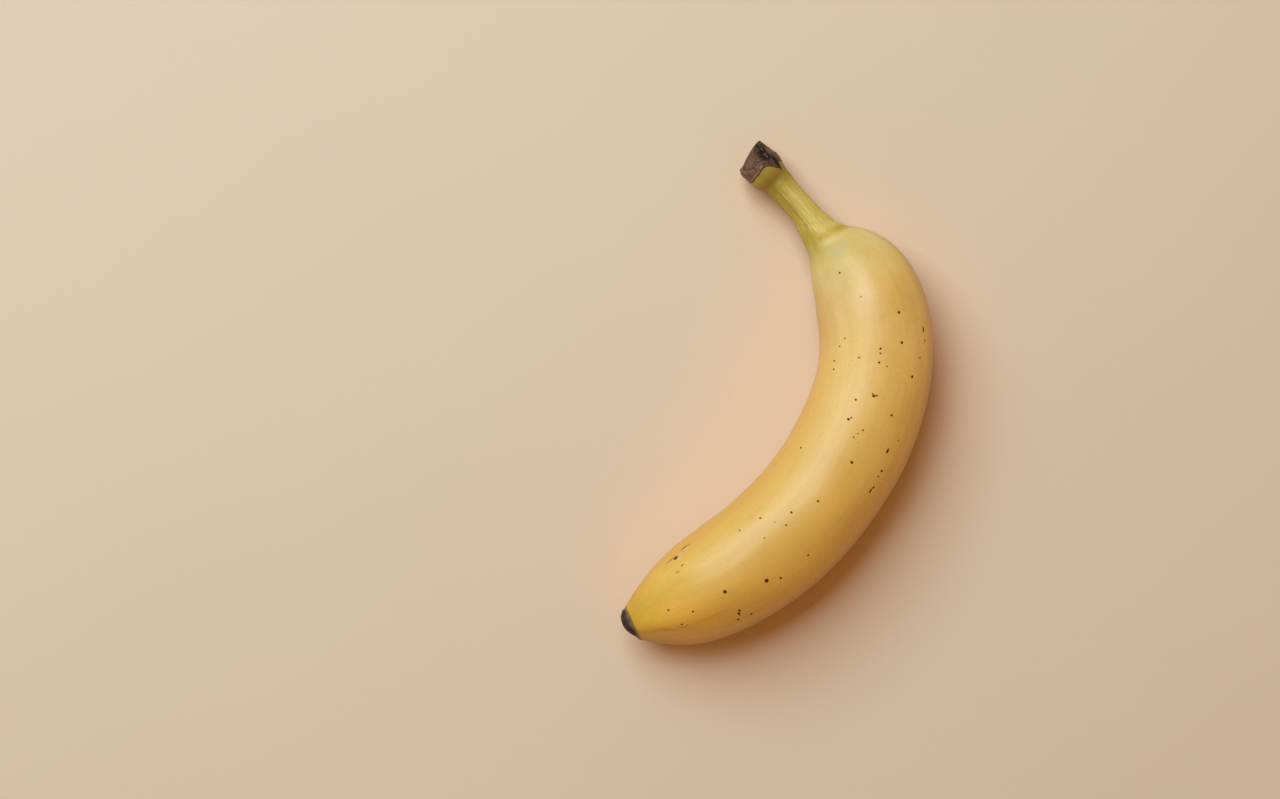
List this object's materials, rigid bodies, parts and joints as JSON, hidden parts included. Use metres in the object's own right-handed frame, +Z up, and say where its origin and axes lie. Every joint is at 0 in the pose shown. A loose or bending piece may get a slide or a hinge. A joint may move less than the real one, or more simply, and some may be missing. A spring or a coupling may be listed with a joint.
{
  "type": "banana",
  "caption": "Ripe yellow banana lying on its side, with its torn stem crown, soft lengthwise ridges and dark blossom end.",
  "frame": {"origin": "on the resting surface, under the middle of the fruit's box", "axes": "+Z up from the resting surface; +X from the stem towards the blossom end; the hollow of the curve faces -Y"},
  "size_m": [0.1586, 0.0746, 0.0346],
  "materials": {
    "peel": "ripe yellow peel with a soft waxy sheen, small brown freckles, a green-tinged stem and dark dried ends"
  },
  "bodies": {
    "root": {"banana": "peel"}
  },
  "joints": []
}
